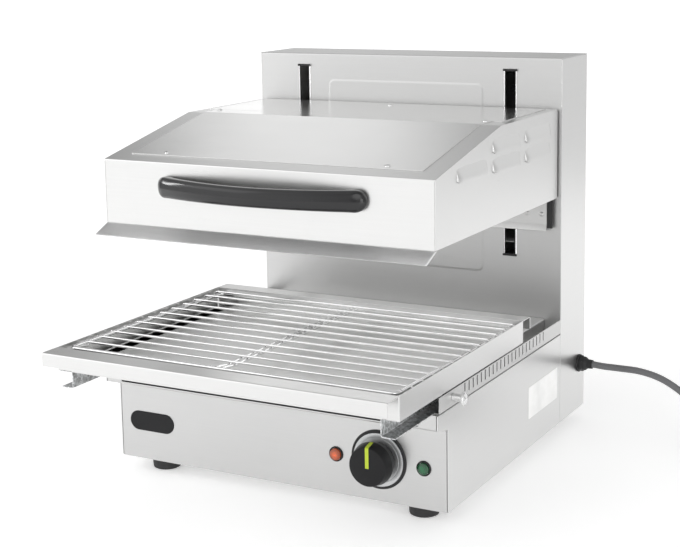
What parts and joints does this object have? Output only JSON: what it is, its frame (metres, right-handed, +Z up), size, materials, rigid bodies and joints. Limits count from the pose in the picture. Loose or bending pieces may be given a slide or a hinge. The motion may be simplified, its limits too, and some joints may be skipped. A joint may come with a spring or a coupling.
{
  "type": "cheese melter",
  "caption": "Countertop cheese melter: a sloped hood with a bow handle slides up and down a rear tower over a wire grid in a pull-out drip tray on a deck, with a dial, lamps and cord.",
  "frame": {"origin": "middle of the bounding box seen from above, on the floor under the feet, measured without the cord, its gland and its plug", "axes": "+X is the user's right, +Y points to the back of the tower, +Z is up"},
  "size_m": [0.776, 0.596, 0.5],
  "materials": {
    "brushed_sheet": "fine satin grain",
    "deck_sheet": "satin",
    "rail_metal": "dull galvanised",
    "chrome_wire": "bright plated wire",
    "bright_steel": "turned and polished",
    "spun_aluminium": "spun circular grain",
    "black_gloss": "glossy moulded",
    "black_matte": "matte moulded",
    "black_rubber": "matte",
    "pointer_green": "matt paint",
    "lens_red": "glossy tinted",
    "lens_green": "glossy tinted",
    "label_white": "satin film",
    "bakelite": "matte",
    "ceramic_white": "matte",
    "heater_steel": "heat-tinted",
    "reflector_sheet": "semi-bright",
    "dark_steel": "satin",
    "cast_grey": "satin",
    "cord_grey": "satin sheath"
  },
  "bodies": {
    "base": {"base_front_panel": "brushed_sheet", "base_side_left": "brushed_sheet", "base_side_right": "brushed_sheet", "base_deck": "deck_sheet", "base_bottom": "deck_sheet", "feet": "black_rubber", "nameplate_blank": "black_gloss", "dial_ring": "black_matte", "dial_plate": "spun_aluminium", "thermostat": "bakelite", "lamp_bezels": "black_matte", "heating_lamp_lens": "lens_red", "power_lamp_lens": "lens_green", "rating_label": "label_white", "terminal_block": "ceramic_white", "screw_nut": "bright_steel", "tower_front": "brushed_sheet", "tower_side_left": "brushed_sheet", "tower_side_right": "brushed_sheet", "tower_back_cover": "brushed_sheet", "tower_cover_screws": "bright_steel", "slot_trim_left": "bright_steel", "slot_trim_right": "bright_steel", "slot_end_bars": "black_matte", "guide_rod_left": "bright_steel", "guide_rod_right": "bright_steel", "rod_clamps": "cast_grey", "stop_collars": "bright_steel", "strut_tubes": "dark_steel", "cable_gland": "black_matte", "cord_run": "cord_grey", "cord_coil": "cord_grey", "coil_tie": "black_rubber", "plug_body": "black_rubber"},
    "hood": {"strut_rods": "bright_steel", "carriage": "cast_grey", "hood_arm_left": "deck_sheet", "hood_arm_right": "deck_sheet", "hood_bracket_left": "brushed_sheet", "hood_bracket_right": "brushed_sheet", "hood_strips": "black_rubber", "hood_shell": "brushed_sheet", "hood_slope_cover": "brushed_sheet", "hood_rear_cover": "brushed_sheet", "hood_screws": "bright_steel", "hood_lip": "brushed_sheet", "hood_handle": "black_gloss", "reflector": "reflector_sheet", "element_front": "heater_steel", "element_rear": "heater_steel", "element_brackets": "deck_sheet"},
    "tray": {"tray_pan": "brushed_sheet", "tray_rail_left": "rail_metal", "tray_rail_right": "rail_metal"},
    "grid": {"grid_frame": "chrome_wire", "grid_wires": "chrome_wire"},
    "knob": {"knob": "black_gloss", "knob_pointer": "pointer_green", "thermostat_shaft": "bright_steel"},
    "thumb_screw": {"thumb_screw": "bright_steel"}
  },
  "joints": [
    {"name": "hood_lift", "type": "slide", "parent": "base", "child": "hood", "axis": [0, 0, 1], "range_m": [-0.085, 0.06]},
    {"name": "tray_slide", "type": "slide", "parent": "base", "child": "tray", "axis": [0, -1, 0], "range_m": [-0.105, 0.1]},
    {"name": "grid_lift", "type": "slide", "parent": "tray", "child": "grid", "axis": [0, 0, 1], "range_m": [0, 0.03]},
    {"name": "knob_turn", "type": "hinge", "parent": "base", "child": "knob", "pos_m": [0.131, -0.173, 0.068], "axis": [0, 1, 0], "range_deg": [0, 270]},
    {"name": "thumb_screw_turn", "type": "hinge", "parent": "base", "child": "thumb_screw", "pos_m": [0.2175, -0.139, 0.1491], "axis": [1, 0, 0], "range_deg": [0, 720]}
  ]
}
